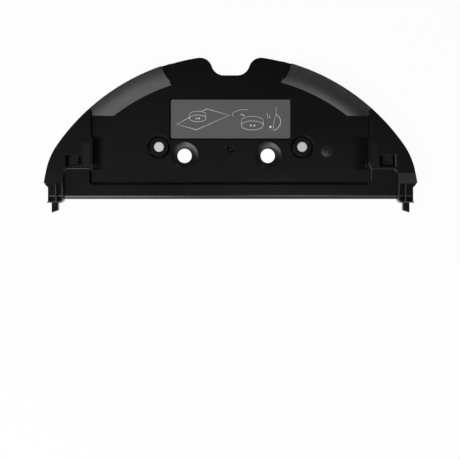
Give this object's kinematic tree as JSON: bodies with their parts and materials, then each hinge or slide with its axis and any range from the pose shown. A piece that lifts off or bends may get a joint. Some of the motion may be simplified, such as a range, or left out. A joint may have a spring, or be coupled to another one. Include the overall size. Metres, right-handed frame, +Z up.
{
  "type": "robot vacuum mop plate",
  "caption": "Flat moulded plate that carries a mop cloth under a robot vacuum, with a round rear edge, raised wings, corner prongs, water holes, magnets and a label.",
  "frame": {"origin": "on the surface that the plate rests on, below the middle of its bounding box", "axes": "+Z up out of the label's face, +X to the right with the round edge away from the viewer, +Y from the straight front edge to the round rear edge"},
  "size_m": [0.31, 0.1298, 0.0108],
  "materials": {
    "black_abs": "satin moulded, fine grain",
    "label_film": "matt printed film",
    "nickel": "bright nickel plate",
    "hook_nylon": "woven tape with moulded hooks"
  },
  "bodies": {
    "root": {"mop_plate": "black_abs", "label": "label_film", "magnet_left": "nickel", "magnet_right": "nickel", "hook_tape_left": "hook_nylon", "hook_tape_right": "hook_nylon", "hook_tape_centre": "hook_nylon"}
  },
  "joints": []
}
